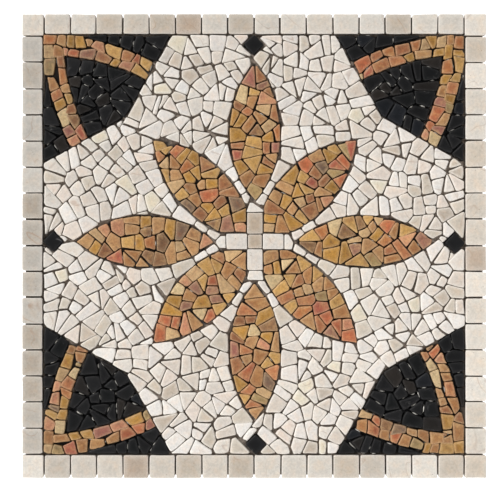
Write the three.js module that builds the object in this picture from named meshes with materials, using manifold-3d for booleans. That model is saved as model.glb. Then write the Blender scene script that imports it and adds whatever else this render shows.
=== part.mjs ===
// Mosaic medallion panel of tumbled marble on a glass-fibre net.
//
// A square of broken marble chips is laid as an eight-petal flower in a pale ground, with a dark
// field and a curved ochre band in each corner, four small dark squares set on their points, and a
// border of plain cut tiles. Each area is one solid here: its chips, stood together on the bead of
// adhesive that joins them, with an open joint around the area.
//
// Units are millimetres and +Z is up. The front faces -Y. The origin is the centre of the flat back.

import * as THREE from 'three';
import { mergeVertices } from 'three/addons/utils/BufferGeometryUtils.js';
import Module from 'manifold-3d';

const wasm = await Module();
wasm.setup();

// The panel as a whole.
const panelSide = 600;
const panelThickness = 10;
const netThickness = 0.8;
const netInset = 3;
const glueLine = 0.3;
const stoneThickness = panelThickness - netThickness - glueLine;
const joint = 2;
const easedEdge = 0.8;

// The border, laid by hand, is a little deeper along the bottom, and so are its corner tiles there.
const borderDepth = { top: 25.5, bottom: 29.5, left: 26, right: 26.5 };
const cornerWidth = 27.5;
const cornerHeight = { top: 27.5, bottom: 29.5 };
const tilesBetweenCorners = 16;
const beadThickness = 1.5;
const beadInset = 3;

// The flower, measured from its own centre.
const flowerCentre = { x: 1, y: 6 };
const axialPetal = { centre: 142, halfLength: 90.5, halfWidth: 34 };
const diagonalPetal = { centre: 93.5, halfLength: 93, halfWidth: 34.5 };
const petalArcSteps = 14;

// The cross in the middle of the flower.
const centreTile = 18;
const armWidth = 20;
const armLength = 27;
const tumbledCorner = 1.5;
// The odd chip that closes each arm: points across the arm and outward from its joint.
const capOutlines = {
  top: [[-11, 0], [11, 0], [10.5, 2.5], [-3, 12], [-6.5, 12]],
  right: [[-9.5, 0], [10, 0], [10, 9.5], [1.5, 11.5], [-8.5, 6]],
  bottom: [[-9.5, 0], [7.5, 0], [10.5, 11.5], [-11, 12]],
  left: [[-8.5, 0], [7, 0], [6.5, 6.5], [0.5, 12.5], [-3, 12], [-8, 8]],
};
const groundInnerRadius = 46;

// The dark corner fields: each is a kite with the border's inner corner as its right angle.
const kiteSide = 166.5;
const kiteTip = 106.5;
const bandRadius = 316;
const bandWidth = 26.7;
const wedgeStart = 58;
const discSteps = 96;

// The dark squares set on their points. Each is centred this far in from the field's edge.
const darkSquare = 20;
const darkSquareInset = 12.9;
const darkSquareClearance = 1.5;

const sides = ['top', 'right', 'bottom', 'left'];
const quarterTurn = Math.PI / 2;

const colours = {
  paleMarble: 0xd8d0c4,
  taupeMarble: 0xb8a896,
  ochreMarble: 0xb98a55,
  blackMarble: 0x242426,
  net: 0xe9e9e4,
};

const finishes = {
  pale: new THREE.MeshStandardMaterial({ color: colours.paleMarble, roughness: 0.7, metalness: 0 }),
  taupe: new THREE.MeshStandardMaterial({ color: colours.taupeMarble, roughness: 0.7, metalness: 0 }),
  ochre: new THREE.MeshStandardMaterial({ color: colours.ochreMarble, roughness: 0.65, metalness: 0 }),
  black: new THREE.MeshStandardMaterial({ color: colours.blackMarble, roughness: 0.5, metalness: 0 }),
  net: new THREE.MeshStandardMaterial({ color: colours.net, roughness: 0.9, metalness: 0 }),
};

// Edges of the field inside the border, at the middle of the joint around it.
const field = {
  left: -panelSide / 2 + borderDepth.left + joint / 2,
  right: panelSide / 2 - borderDepth.right - joint / 2,
  bottom: -panelSide / 2 + borderDepth.bottom + joint / 2,
  top: panelSide / 2 - borderDepth.top - joint / 2,
};

// ---- outlines, drawn as seen from the front ----

function polygon(points) {
  return new THREE.Shape(points.map(([x, y]) => new THREE.Vector2(x, y)));
}

function box(left, bottom, right, top) {
  return polygon([[left, bottom], [right, bottom], [right, top], [left, top]]);
}

function turned(points, angle, centre) {
  const cos = Math.cos(angle);
  const sin = Math.sin(angle);
  return points.map(([x, y]) => [centre.x + x * cos - y * sin, centre.y + x * sin + y * cos]);
}

// A convex outline, given anticlockwise, with its edges moved outward by `grow`.
function grown(points, grow) {
  const outward = points.map(([x, y], index) => {
    const [nextX, nextY] = points[(index + 1) % points.length];
    const length = Math.hypot(nextX - x, nextY - y);
    return [(nextY - y) / length, (x - nextX) / length];
  });
  return points.map(([x, y], index) => {
    const [beforeX, beforeY] = outward.at(index - 1);
    const [afterX, afterY] = outward[index];
    const even = 1 + beforeX * afterX + beforeY * afterY;
    return [x + grow * (beforeX + afterX) / even, y + grow * (beforeY + afterY) / even];
  });
}

// A rectangle about the origin with each corner worn to two short facets.
function wornRectangle(width, height) {
  const points = [];
  for (const [sx, sy] of [[1, -1], [1, 1], [-1, 1], [-1, -1]]) {
    const alongX = [sx * (width / 2 - tumbledCorner), sy * height / 2];
    const alongY = [sx * width / 2, sy * (height / 2 - tumbledCorner)];
    points.push(...(sx === sy ? [alongY, alongX] : [alongX, alongY]));
  }
  return points;
}

// Two equal arcs meeting in points on the x axis. `grow` moves both arcs outward.
function petalOutline({ centre, halfLength, halfWidth }, angle, grow) {
  const radius = (halfLength ** 2 + halfWidth ** 2) / (2 * halfWidth);
  const drop = radius - halfWidth;
  const reach = Math.acos(drop / (radius + grow));
  const points = [];
  for (const sign of [-1, 1]) {
    for (let step = 0; step < petalArcSteps; step += 1) {
      const sweep = reach - 2 * reach * step / petalArcSteps;
      const x = -sign * (radius + grow) * Math.sin(sweep);
      const y = sign * ((radius + grow) * Math.cos(sweep) - drop);
      points.push([x + centre, -y]);
    }
  }
  return polygon(turned(points, angle, flowerCentre));
}

// The kite of a corner field, with its two slanted edges moved outward by `grow`.
function kiteOutline(corner, grow) {
  const slant = Math.hypot(kiteTip, kiteSide - kiteTip);
  const side = kiteSide + grow * slant / kiteTip;
  const tip = kiteTip + grow * slant / kiteSide;
  return polygon([[0, 0], [side, 0], [tip, tip], [0, side]].map(([a, b]) => corner.place(a, b)));
}

function disc(centre, radius) {
  const shape = new THREE.Shape();
  shape.absarc(centre[0], centre[1], radius, 0, 2 * Math.PI, false);
  return shape;
}

// ---- solids ----

// A slab with its front and back edges eased all round.
function easedSlab(shape, thickness) {
  const geometry = new THREE.ExtrudeGeometry(shape, {
    depth: thickness - 2 * easedEdge,
    bevelEnabled: true,
    bevelThickness: easedEdge,
    bevelSize: easedEdge,
    bevelOffset: -easedEdge,
    bevelSegments: 1,
    curveSegments: discSteps,
  });
  return geometry.translate(0, 0, easedEdge);
}

function plainSlab(shape, low, high) {
  const geometry = new THREE.ExtrudeGeometry(shape, {
    depth: high - low,
    bevelEnabled: false,
    curveSegments: discSteps,
  });
  return geometry.translate(0, 0, low);
}

function toSolid(geometry) {
  const bare = geometry.clone();
  bare.deleteAttribute('normal');
  bare.deleteAttribute('uv');
  const merged = mergeVertices(bare, 1e-4);
  return new wasm.Manifold(new wasm.Mesh({
    numProp: 3,
    vertProperties: new Float32Array(merged.attributes.position.array),
    triVerts: new Uint32Array(merged.index.array),
  }));
}

function toGeometry(solid) {
  const mesh = solid.getMesh();
  const geometry = new THREE.BufferGeometry();
  geometry.setAttribute('position', new THREE.BufferAttribute(mesh.vertProperties, 3));
  geometry.setIndex(new THREE.BufferAttribute(mesh.triVerts, 1));
  geometry.computeVertexNormals();
  return geometry;
}

function stoneSolid(shape) {
  return toSolid(plainSlab(shape, 0, stoneThickness));
}

// A cutter right through the stone.
function cutter(shape) {
  return toSolid(plainSlab(shape, -1, stoneThickness + 1));
}

const panel = new THREE.Group();
panel.rotation.x = quarterTurn;

function addPiece(name, geometry, finish, height = netThickness + glueLine) {
  const mesh = new THREE.Mesh(geometry, finish);
  mesh.name = name;
  mesh.position.z = height;
  panel.add(mesh);
}

// ---- net ----

function addNet() {
  const half = panelSide / 2 - netInset;
  addPiece('backing_net', plainSlab(box(-half, -half, half, half), 0, netThickness), finishes.net, 0);
}

// ---- border ----

function addCornerTiles() {
  for (const [vertical, sy] of [['top', 1], ['bottom', -1]]) {
    for (const [level, sx] of [['left', -1], ['right', 1]]) {
      const height = cornerHeight[vertical];
      const centre = { x: sx * (panelSide - cornerWidth) / 2, y: sy * (panelSide - height) / 2 };
      const outline = turned(wornRectangle(cornerWidth, height), 0, centre);
      const name = `border_corner_${vertical}_${level}`;
      addPiece(name, easedSlab(polygon(outline), stoneThickness), finishes.pale);
    }
  }
}

// The corner tiles that a row starts and ends at, going clockwise round the border.
const startCorner = {
  top: cornerWidth,
  right: cornerHeight.top,
  bottom: cornerWidth,
  left: cornerHeight.bottom,
};
const endCorner = {
  top: cornerWidth,
  right: cornerHeight.bottom,
  bottom: cornerWidth,
  left: cornerHeight.top,
};

// One side of the border: its tiles, joined along the back by their bead of adhesive.
function addBorderRow(side, index) {
  const depth = borderDepth[side];
  const rowStart = -panelSide / 2 + startCorner[side] + joint;
  const rowEnd = panelSide / 2 - endCorner[side] - joint;
  const pitch = (rowEnd - rowStart + joint) / tilesBetweenCorners;
  const tile = pitch - joint;
  const outerEdge = panelSide / 2;
  const place = (points) => polygon(turned(points, -index * quarterTurn, { x: 0, y: 0 }));
  const rectangle = (left, right, low, high) => place([
    [left, low], [right, low], [right, high], [left, high],
  ]);
  const bead = rectangle(rowStart + beadInset, rowEnd - beadInset,
    outerEdge - depth + beadInset, outerEdge - beadInset);
  let row = toSolid(plainSlab(bead, easedEdge / 2, beadThickness));
  for (let count = 0; count < tilesBetweenCorners; count += 1) {
    const left = rowStart + count * pitch;
    const stone = easedSlab(rectangle(left, left + tile, outerEdge - depth, outerEdge), stoneThickness);
    row = row.add(toSolid(stone));
  }
  addPiece(`border_row_${side}`, toGeometry(row), finishes.pale);
}

// ---- flower ----

function armOutline(index) {
  const middle = (centreTile + joint + armLength) / 2;
  const outline = wornRectangle(armWidth, armLength).map(([x, y]) => [x, y + middle]);
  return polygon(turned(outline, -index * quarterTurn, flowerCentre));
}

// `grow` moves the cap's edges outward.
function capOutline(side, index, grow) {
  const start = centreTile / 2 + armLength + joint;
  const points = capOutlines[side].map(([across, along]) => [across, start + along]);
  return polygon(turned(grown(points, grow), -index * quarterTurn, flowerCentre));
}

function addCross() {
  const square = turned(wornRectangle(centreTile, centreTile), 0, flowerCentre);
  addPiece('centre_square', easedSlab(polygon(square), stoneThickness), finishes.taupe);
  sides.forEach((side, index) => {
    const finish = side === 'top' ? finishes.taupe : finishes.pale;
    addPiece(`centre_arm_${side}`, easedSlab(armOutline(index), stoneThickness), finish);
    addPiece(`centre_cap_${side}`, easedSlab(capOutline(side, index, 0), stoneThickness), finishes.pale);
  });
}

const axialAngles = sides.map((side, index) => quarterTurn - index * quarterTurn);
const diagonalNames = ['top_right', 'bottom_right', 'bottom_left', 'top_left'];
const diagonalAngles = diagonalNames.map((name, index) => quarterTurn / 2 - index * quarterTurn);

// What a diagonal petal leaves free: the quarter planes on the far sides of the cross's arms.
function armClearance(angle) {
  const reach = panelSide;
  const clear = armWidth / 2 + joint;
  const points = [
    [-reach, -reach], [reach, -reach], [reach, clear],
    [clear, clear], [clear, reach], [-reach, reach],
  ];
  return polygon(turned(points, angle - quarterTurn / 2, flowerCentre));
}

function addPetals() {
  sides.forEach((side, index) => {
    const outline = petalOutline(axialPetal, axialAngles[index], -joint / 2);
    addPiece(`petal_${side}`, easedSlab(outline, stoneThickness), finishes.ochre);
  });
  diagonalNames.forEach((name, index) => {
    const angle = diagonalAngles[index];
    const whole = toSolid(easedSlab(petalOutline(diagonalPetal, angle, -joint / 2), stoneThickness));
    const petal = whole.subtract(cutter(armClearance(angle)));
    addPiece(`petal_${name}`, toGeometry(petal), finishes.ochre);
  });
}

// ---- dark squares ----

// `grow` moves the squares' edges outward.
function darkSquares(grow) {
  const side = darkSquare + 2 * grow;
  const places = {
    top: { x: -0.5, y: field.top - darkSquareInset },
    right: { x: field.right - darkSquareInset, y: 4 },
    bottom: { x: 2, y: field.bottom + darkSquareInset },
    left: { x: field.left + darkSquareInset, y: 6 },
  };
  return sides.map((name) => polygon(turned(wornRectangle(side, side), quarterTurn / 2, places[name])));
}

function addDarkSquares() {
  darkSquares(0).forEach((outline, index) => {
    addPiece(`dark_square_${sides[index]}`, easedSlab(outline, stoneThickness), finishes.black);
  });
}

// ---- corner fields ----

// Each corner works in its own a, b axes, which run from the border's inner corner along the border.
const corners = [];
for (const [vertical, edgeY, sy] of [['top', field.top, -1], ['bottom', field.bottom, 1]]) {
  for (const [level, edgeX, sx] of [['left', field.left, 1], ['right', field.right, -1]]) {
    corners.push({
      name: `${vertical}_${level}`,
      place: (a, b) => [edgeX + sx * a, edgeY + sy * b],
    });
  }
}

function fieldSlab(inset) {
  return stoneSolid(box(field.left + inset, field.bottom + inset, field.right - inset, field.top - inset));
}

// The dark wedge between the border and the back of a band's arm.
// `level` says whether the arm is the one that runs along the top or bottom border.
function wedge(corner, kite, level, grow) {
  const along = (a, b) => (level ? corner.place(a, b) : corner.place(b, a));
  const start = wedgeStart - grow;
  const far = 2 * kiteSide;
  const beyond = polygon([
    along(start, -joint), along(far, -joint), along(far, far), along(start, far),
  ]);
  return kite
    .intersect(cutter(beyond))
    .subtract(cutter(disc(along(0, bandRadius), bandRadius - grow)));
}

function addCornerField(corner) {
  const gap = joint / 2;
  const kite = fieldSlab(gap).intersect(cutter(kiteOutline(corner, -gap)));
  const innerDisc = (level, grow) => {
    const centre = level ? corner.place(0, bandRadius) : corner.place(bandRadius, 0);
    return cutter(disc(centre, bandRadius - bandWidth + grow));
  };
  const leaf = kite.intersect(innerDisc(true, -gap)).intersect(innerDisc(false, -gap));
  const leafPocket = innerDisc(true, gap).intersect(innerDisc(false, gap));
  const wholeKite = fieldSlab(-gap).intersect(cutter(kiteOutline(corner, gap)));
  const band = kite
    .subtract(leafPocket)
    .subtract(wedge(corner, wholeKite, true, gap))
    .subtract(wedge(corner, wholeKite, false, gap));
  addPiece(`corner_leaf_${corner.name}`, toGeometry(leaf), finishes.black);
  addPiece(`corner_band_${corner.name}`, toGeometry(band), finishes.ochre);
  for (const [way, level] of [['level', true], ['upright', false]]) {
    const slab = toGeometry(wedge(corner, kite, level, -gap));
    addPiece(`corner_wedge_${way}_${corner.name}`, slab, finishes.black);
  }
}

// ---- ground ----

// The pale ground: the whole field, less the kites, the flower, the cross and the dark squares.
function addGround() {
  const gap = joint / 2;
  const cutters = [
    ...corners.map((corner) => kiteOutline(corner, gap)),
    ...axialAngles.map((angle) => petalOutline(axialPetal, angle, gap)),
    ...diagonalAngles.map((angle) => petalOutline(diagonalPetal, angle, gap)),
    ...darkSquares(darkSquareClearance),
    ...sides.map((side, index) => capOutline(side, index, joint)),
    disc([flowerCentre.x, flowerCentre.y], groundInnerRadius),
  ];
  const ground = cutters.reduce((solid, outline) => solid.subtract(cutter(outline)), fieldSlab(gap));
  addPiece('ground', toGeometry(ground), finishes.pale);
}

addNet();
addCornerTiles();
sides.forEach(addBorderRow);
addCross();
addPetals();
addDarkSquares();
corners.forEach(addCornerField);
addGround();

export default panel;
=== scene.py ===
import math
import random

import bpy
import numpy as np
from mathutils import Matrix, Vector, geometry, kdtree, noise


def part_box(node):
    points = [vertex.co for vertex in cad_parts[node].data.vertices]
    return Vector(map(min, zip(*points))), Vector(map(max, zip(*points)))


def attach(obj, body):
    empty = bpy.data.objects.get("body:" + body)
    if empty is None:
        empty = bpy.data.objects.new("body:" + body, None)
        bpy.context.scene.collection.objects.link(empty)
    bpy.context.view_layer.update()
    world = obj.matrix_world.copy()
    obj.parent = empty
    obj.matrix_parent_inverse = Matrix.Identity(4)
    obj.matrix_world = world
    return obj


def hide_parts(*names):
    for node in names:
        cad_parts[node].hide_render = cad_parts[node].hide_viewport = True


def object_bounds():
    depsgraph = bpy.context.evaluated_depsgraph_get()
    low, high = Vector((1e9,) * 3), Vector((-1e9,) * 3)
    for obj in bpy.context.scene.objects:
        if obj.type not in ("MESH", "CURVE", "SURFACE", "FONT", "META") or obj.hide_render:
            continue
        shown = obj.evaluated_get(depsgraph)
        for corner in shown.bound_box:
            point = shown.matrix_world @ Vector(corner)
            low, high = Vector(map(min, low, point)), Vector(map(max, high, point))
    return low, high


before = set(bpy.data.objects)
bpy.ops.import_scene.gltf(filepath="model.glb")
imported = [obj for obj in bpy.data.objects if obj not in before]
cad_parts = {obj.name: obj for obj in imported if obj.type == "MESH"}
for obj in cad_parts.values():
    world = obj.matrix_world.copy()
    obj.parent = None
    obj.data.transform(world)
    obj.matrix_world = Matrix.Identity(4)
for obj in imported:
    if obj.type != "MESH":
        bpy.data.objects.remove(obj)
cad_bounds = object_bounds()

# A square medallion of tumbled marble chips on a glass-fibre net. The CAD frame holds one solid for
# each area of the mosaic; every chip, tile, thread and bead of adhesive is made here.
#
# The layout is worked out on the face in millimetres, x to the right and z up as seen from the
# front. "Depth" is the height above the flat back, towards the viewer, which is -Y in the frame.

MM = 0.001

# Heights of the layers above the back.
THREAD_TOP = 0.35
FILM_BACK = 0.3
FILM_TOP = 0.85
STONE_BACK = 0.8
STONE_TOP = 9.95

# The CAD solids stand this far apart. A chip at the rim of its area reaches into that joint.
JOINT = 2.0
RIM_LOW, RIM_HIGH = -0.85, 0.5

# What is too small to be laid.
LEAST_AREA = 22.0
LEAST_WIDTH = 3.4

# Nippers take off any corner sharper than this, in degrees.
SHARP_CORNER = 66.0

INNER, RIM = 0, 1
PANEL_HALF = cad_bounds[1][0] / MM


# ---------------------------------------------------------------- outlines from the CAD frame


def flat_points(node):
    """The node's vertices on the face, in millimetres, and their depths."""
    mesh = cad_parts[node].data
    flat = np.empty(len(mesh.vertices) * 3, np.float32)
    mesh.vertices.foreach_get("co", flat)
    points = flat.reshape(-1, 3).astype(float) / MM
    return points[:, (0, 2)], -points[:, 1]


def hull_outline(nodes):
    """The convex outline round these nodes, anticlockwise."""
    points = np.concatenate([flat_points(node)[0] for node in nodes])
    order = geometry.convex_hull_2d([Vector(p) for p in points])
    return anticlockwise(thinned([tuple(points[i]) for i in order]))


def back_loops(node):
    """The loops round the node's flat back, with the material on the left of each edge."""
    points, depths = flat_points(node)
    keys = [tuple(p) for p in np.round(points, 3)]
    back = depths < depths.min() + 0.05
    sides = {}
    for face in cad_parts[node].data.polygons:
        corners = list(face.vertices)
        if not all(back[i] for i in corners):
            continue
        for a, b in zip(corners, corners[1:] + corners[:1]):
            sides[(keys[a], keys[b])] = True
    # A back face runs clockwise as seen from the front, so its edges are turned round.
    border = {b: a for a, b in sides if (b, a) not in sides}
    loops = []
    while border:
        start = next(iter(border))
        loop, here = [start], border.pop(start)
        while here != start:
            loop.append(here)
            here = border.pop(here)
        loops.append(thinned(loop))
    return loops


def thinned(loop, least=0.05):
    """The loop without repeated points and points on a straight line."""
    apart = [p for i, p in enumerate(loop) if math.dist(loop[i - 1], p) >= least]
    kept = []
    for i, here in enumerate(apart):
        before, after = apart[i - 1], apart[(i + 1) % len(apart)]
        if abs(cross(before, after, here)) / math.dist(before, after) >= 0.004:
            kept.append(here)
    return kept


# ---------------------------------------------------------------- plane geometry


def cross(a, b, c):
    return (b[0] - a[0]) * (c[1] - a[1]) - (b[1] - a[1]) * (c[0] - a[0])


def area_of(poly):
    return 0.5 * sum(
        p[0] * q[1] - q[0] * p[1] for p, q in zip(poly, poly[1:] + poly[:1])
    )


def anticlockwise(loop):
    return loop if area_of(loop) > 0 else loop[::-1]


def centroid_of(poly):
    total = x = z = 0.0
    for p, q in zip(poly, poly[1:] + poly[:1]):
        w = p[0] * q[1] - q[0] * p[1]
        total += w
        x += (p[0] + q[0]) * w
        z += (p[1] + q[1]) * w
    return (x / (3 * total), z / (3 * total)) if abs(total) > 1e-9 else poly[0][:2]


def widths_of(poly):
    """The least width over the directions of the edges, and the length across it."""
    best = (1e9, 0.0)
    for p, q in zip(poly, poly[1:] + poly[:1]):
        length = math.dist(p[:2], q[:2])
        if length < 0.5:
            continue
        dx, dz = (q[0] - p[0]) / length, (q[1] - p[1]) / length
        across = [dx * r[1] - dz * r[0] for r in poly]
        along = [dx * r[0] + dz * r[1] for r in poly]
        best = min(best, (max(across) - min(across), max(along) - min(along)))
    return best


def clip(poly, nx, nz, limit, label):
    """What a convex polygon has where nx*x + nz*z <= limit. The label of an edge stays with its first point."""
    kept = []
    for p, q in zip(poly, poly[1:] + poly[:1]):
        here = nx * p[0] + nz * p[1] - limit
        there = nx * q[0] + nz * q[1] - limit
        if here <= 0:
            kept.append(p)
        if (here <= 0) != (there <= 0):
            t = here / (here - there)
            x, z = p[0] + t * (q[0] - p[0]), p[1] + t * (q[1] - p[1])
            kept.append((x, z, label if here <= 0 else p[2]))
    return kept if len(kept) > 2 else []


class Outline:
    """An area's outline: loops of edges with the area on the left of each."""

    def __init__(self, loops):
        self.loops = loops
        self.edges = []
        for loop in loops:
            for p, q in zip(loop, loop[1:] + loop[:1]):
                length = math.dist(p, q)
                nx, nz = (q[1] - p[1]) / length, -(q[0] - p[0]) / length
                self.edges.append((p, q, nx, nz, nx * p[0] + nz * p[1]))
        self.area = sum(area_of(loop) for loop in loops)
        xs = [p[0] for loop in loops for p in loop]
        zs = [p[1] for loop in loops for p in loop]
        self.low, self.high = (min(xs), min(zs)), (max(xs), max(zs))

    def holds(self, point):
        x, z = point[:2]
        inside = False
        for p, q, *_ in self.edges:
            if (p[1] > z) != (q[1] > z):
                if x < p[0] + (z - p[1]) * (q[0] - p[0]) / (q[1] - p[1]):
                    inside = not inside
        return inside

    def holding(self, points):
        """Which of many points the area holds, as an array."""
        xs, zs = np.array([p[:2] for p in points]).T
        inside = np.zeros(len(xs), bool)
        for p, q, *_ in self.edges:
            if p[1] != q[1]:
                spans = (p[1] > zs) != (q[1] > zs)
                inside ^= spans & (xs < p[0] + (zs - p[1]) * (q[0] - p[0]) / (q[1] - p[1]))
        return inside

    def crossing(self, poly):
        """The edges that pass through a convex polygon, the longest stretch first."""
        found = []
        xs, zs = [p[0] for p in poly], [p[1] for p in poly]
        for edge in self.edges:
            p, q = edge[:2]
            if max(p[0], q[0]) < min(xs) or min(p[0], q[0]) > max(xs):
                continue
            if max(p[1], q[1]) < min(zs) or min(p[1], q[1]) > max(zs):
                continue
            stretch = inside_stretch(p, q, poly)
            if stretch > 0.3:
                found.append((stretch, edge))
        return [edge for _, edge in sorted(found, key=lambda f: -f[0])]

    def fitted(self, poly, depth=0):
        """The convex parts of poly that lie in the area."""
        if len(poly) < 3 or area_of(poly) < LEAST_AREA / 2:
            return []
        edges = self.crossing(poly)
        if not edges or depth > 7:
            return [poly] if self.holds(centroid_of(poly)) else []
        _, _, nx, nz, limit = edges[0]
        within = clip(poly, nx, nz, limit, RIM)
        beyond = clip(poly, -nx, -nz, -limit, INNER)
        return self.fitted(within, depth + 1) + self.fitted(beyond, depth + 1)


def inside_stretch(p, q, poly, slack=0.02):
    """How much of the segment from p to q lies well inside a convex polygon."""
    start, end = 0.0, 1.0
    dx, dz = q[0] - p[0], q[1] - p[1]
    for a, b in zip(poly, poly[1:] + poly[:1]):
        ex, ez = b[0] - a[0], b[1] - a[1]
        length = math.hypot(ex, ez)
        if length < 1e-6:
            continue
        here = (ex * (p[1] - a[1]) - ez * (p[0] - a[0])) / length - slack
        rate = (ex * dz - ez * dx) / length
        if abs(rate) < 1e-9:
            if here < 0:
                return 0.0
        elif rate > 0:
            start = max(start, -here / rate)
        else:
            end = min(end, -here / rate)
    return max(0.0, end - start) * math.hypot(dx, dz)


# ---------------------------------------------------------------- laying chips in an area


def cells_of(seeds, outline, reach=60.0):
    """For each seed, the parts of the area that are nearest to it."""
    tree = kdtree.KDTree(len(seeds))
    for i, seed in enumerate(seeds):
        tree.insert((seed[0], seed[1], 0.0), i)
    tree.balance()
    cells = []
    for i, (x, z) in enumerate(seeds):
        poly = [
            (x - reach, z - reach, INNER),
            (x + reach, z - reach, INNER),
            (x + reach, z + reach, INNER),
            (x - reach, z + reach, INNER),
        ]
        for place, j, gap in tree.find_n((x, z, 0.0), 30):
            if j == i or gap < 1e-6:
                continue
            farthest = max(math.dist((x, z), p[:2]) for p in poly)
            if gap > 2 * farthest:
                break
            nx, nz = (place[0] - x) / gap, (place[1] - z) / gap
            limit = nx * (place[0] + x) / 2 + nz * (place[1] + z) / 2
            poly = clip(poly, nx, nz, limit, INNER)
        cells.append(outline.fitted(poly))
    return cells


def scattered(outline, cell_area, rng, placed=()):
    """Seeds spread at random over the area, none too near another or one already placed."""
    count = max(1, round(outline.area / cell_area))
    least = 0.72 * math.sqrt(cell_area)
    seeds = list(placed)
    tries = 0
    while len(seeds) < count and tries < 400 * count:
        tries += 1
        point = (
            rng.uniform(outline.low[0], outline.high[0]),
            rng.uniform(outline.low[1], outline.high[1]),
        )
        near = least * (0.999 ** (tries / 8))
        if any(math.dist(point, s) < near for s in seeds):
            continue
        if outline.holds(point):
            seeds.append(point)
    return seeds


def settled(seeds, outline, rounds):
    """Moves each seed to the middle of its own largest part, a few times over."""
    for _ in range(rounds):
        moved = []
        for seed, parts in zip(seeds, cells_of(seeds, outline)):
            if parts:
                moved.append(centroid_of(max(parts, key=area_of)))
        seeds = moved
    return seeds


def corner_angle(before, here, after):
    """The angle at a corner, in degrees."""
    ax, az = before[0] - here[0], before[1] - here[1]
    bx, bz = after[0] - here[0], after[1] - here[1]
    span = max(math.hypot(ax, az) * math.hypot(bx, bz), 1e-9)
    return math.degrees(math.acos(max(-1.0, min(1.0, (ax * bx + az * bz) / span))))


def sharpest(poly):
    """The sharpest corner, in degrees."""
    return min(corner_angle(poly[i - 1], p, poly[(i + 1) % len(poly)]) for i, p in enumerate(poly))


def stations(poly, rng):
    """The places on a polygon's outline that a break can run to: its corners, and points along each long edge."""
    found = []
    for p, q in zip(poly, poly[1:] + poly[:1]):
        found.append(p[:2])
        length = math.dist(p[:2], q[:2])
        count = min(int(length / 6.5), 4)
        for k in range(count):
            t = (k + 1) / (count + 1) + rng.uniform(-0.1, 0.1) / count
            if count:
                found.append((p[0] + t * (q[0] - p[0]), p[1] + t * (q[1] - p[1])))
    return found


def cut_between(poly, one, other):
    """The two parts of a convex polygon on either side of the line through two points."""
    length = math.dist(one, other)
    if length < 3.0:
        return None
    nx, nz = (other[1] - one[1]) / length, -(other[0] - one[0]) / length
    limit = nx * one[0] + nz * one[1]
    left, right = clip(poly, nx, nz, limit, INNER), clip(poly, -nx, -nz, -limit, INNER)
    if not left or not right:
        return None
    return left, right


def awkwardness(part):
    """How far a part is from a handy chip: long and thin, or with a very sharp corner."""
    width, length = widths_of(part)
    return 0.55 * length / max(width, 0.1) + max(0.0, 66.0 - sharpest(part)) / 12.0


def broken(poly, chip_area, rng):
    """Breaks a piece across until it is about the size and slimness of a chip."""
    size = area_of(poly)
    width, length = widths_of(poly)
    slim = length / max(width, 0.1)
    if size < rng.uniform(1.25, 1.65) * chip_area and (slim < 2.3 or size < 0.6 * chip_area):
        return [poly]
    places = stations(poly, rng)
    best = None
    for i, one in enumerate(places):
        for other in places[i + 1:]:
            parts = cut_between(poly, one, other)
            if parts is None:
                continue
            areas = [area_of(part) for part in parts]
            if min(areas) < 0.45 * chip_area:
                continue
            score = (
                0.8 * abs(math.log(areas[0] / areas[1]))
                + sum(awkwardness(part) for part in parts)
                + rng.uniform(0.0, 0.8)
            )
            if best is None or score < best[0]:
                best = (score, parts)
    if best is None:
        return [poly]
    return [chip for part in best[1] for chip in broken(part, chip_area, rng)]


def sides_of(poly, backs):
    """The half-planes that a convex polygon fills, each edge moved in by its own amount."""
    sides = []
    for p, q, back in zip(poly, poly[1:] + poly[:1], backs):
        length = math.dist(p[:2], q[:2])
        if length > 0.2:
            nx, nz = (q[1] - p[1]) / length, -(q[0] - p[0]) / length
            sides.append((nx, nz, nx * p[0] + nz * p[1] - back))
    return sides


def shape_within(sides, centre, reach=90.0):
    """The polygon that these half-planes leave."""
    x, z = centre
    poly = [
        (x - reach, z - reach, INNER),
        (x + reach, z - reach, INNER),
        (x + reach, z + reach, INNER),
        (x - reach, z + reach, INNER),
    ]
    for nx, nz, limit in sides:
        poly = clip(poly, nx, nz, limit, INNER)
    return poly


def turned(sides, centre, degrees, shift):
    """The half-planes after a small turn about a point and a small shift."""
    cos, sin = math.cos(math.radians(degrees)), math.sin(math.radians(degrees))
    moved = []
    for nx, nz, limit in sides:
        away = limit - nx * centre[0] - nz * centre[1]
        mx, mz = nx * cos - nz * sin, nx * sin + nz * cos
        moved.append((mx, mz, away + mx * (centre[0] + shift[0]) + mz * (centre[1] + shift[1])))
    return moved


def chip_in(cell, rng, loose):
    """One hand-set chip: cut a little smaller than its place, and set a little off and askew in it."""
    centre = centroid_of(cell)
    backs, least = [], []
    usual = rng.triangular(0.12, 0.7 + 0.5 * loose, 0.42)
    for p in cell:
        if p[2] == RIM:
            backs.append(rng.uniform(RIM_LOW, RIM_HIGH))
            least.append(RIM_LOW)
        else:
            wide = rng.random() < 0.35 * loose
            backs.append(usual + (rng.uniform(0.3, 1.3) if wide else rng.uniform(-0.12, 0.22)))
            least.append(0.15)
    askew = turned(
        sides_of(cell, backs), centre, rng.gauss(0.0, 1.3 + 1.8 * loose),
        (rng.gauss(0.0, 0.2 * loose), rng.gauss(0.0, 0.2 * loose)),
    )
    for i in range(len(cell)):
        # Nippers take off the sharp corners.
        before, here, after = cell[i - 1], cell[i], cell[(i + 1) % len(cell)]
        angle = corner_angle(before, here, after)
        if angle < SHARP_CORNER or rng.random() < 0.15:
            bx, bz = here[0] - centre[0], here[1] - centre[1]
            reach = math.hypot(bx, bz)
            take = rng.uniform(0.5, 1.9) + max(0.0, SHARP_CORNER - angle) * 0.085
            lean = math.radians(rng.uniform(-22.0, 22.0))
            nx = (bx * math.cos(lean) - bz * math.sin(lean)) / reach
            nz = (bx * math.sin(lean) + bz * math.cos(lean)) / reach
            askew.append((nx, nz, nx * here[0] + nz * here[1] - take - 0.5))
    return shape_within(sides_of(cell, least) + askew, centre)


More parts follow.
